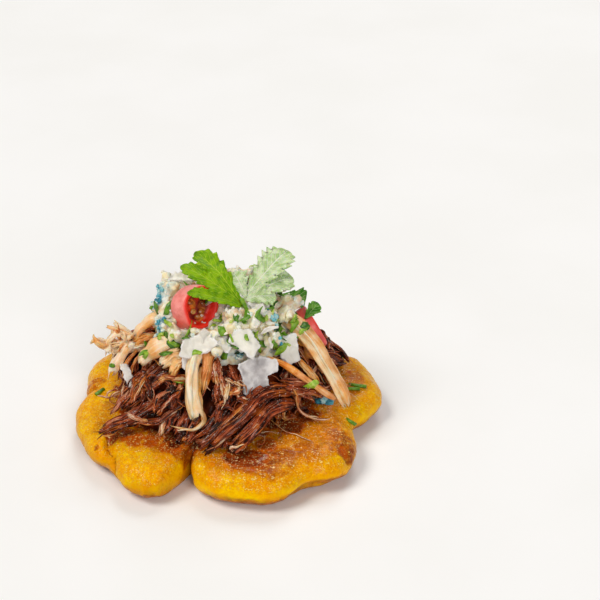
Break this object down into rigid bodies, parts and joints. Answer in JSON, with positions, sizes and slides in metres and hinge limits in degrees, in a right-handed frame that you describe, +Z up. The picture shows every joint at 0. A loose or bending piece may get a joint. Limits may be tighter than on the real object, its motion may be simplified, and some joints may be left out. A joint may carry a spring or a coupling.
{
  "type": "topped tostone",
  "caption": "Flat fried plantain disc with a torn, lobed rim, topped with a heap of pulled beef and chicken, crumbled and shaved cheese, chilli slices and a parsley sprig.",
  "frame": {"origin": "on the table, at the middle of the plantain disc's flat underside", "axes": "+Z up through the heap, -Y towards the front, where the rim has its deepest split, +X to the right"},
  "size_m": [0.0854, 0.0843, 0.0484],
  "materials": {
    "fried_plantain": "oily fried crust, golden yellow with caramel-brown patches",
    "braised_beef": "moist dark brown meat fibres with a sauce glaze",
    "pulled_chicken": "moist pale tan meat fibres",
    "crumbled_cheese": "ivory crumbs with blue-green flecks and chopped herbs",
    "shaved_cheese": "white, slightly see-through thin shavings",
    "red_chilli": "shiny red skin, orange-red flesh and pale seeds",
    "green_leaf": "fresh green leaf with fine veins, paler underneath"
  },
  "bodies": {
    "root": {"plantain": "fried_plantain", "pulled_beef": "braised_beef", "pulled_chicken": "pulled_chicken", "crumbled_cheese": "crumbled_cheese", "shaving_front": "shaved_cheese", "shaving_left": "shaved_cheese", "shaving_middle": "shaved_cheese", "shaving_right": "shaved_cheese", "shaving_low_left": "shaved_cheese", "shaving_top_left": "shaved_cheese", "shaving_top_right": "shaved_cheese", "shaving_back": "shaved_cheese", "shaving_back_left": "shaved_cheese", "chilli_ring": "red_chilli", "chilli_slice": "red_chilli", "parsley_sprig": "green_leaf"}
  },
  "joints": []
}
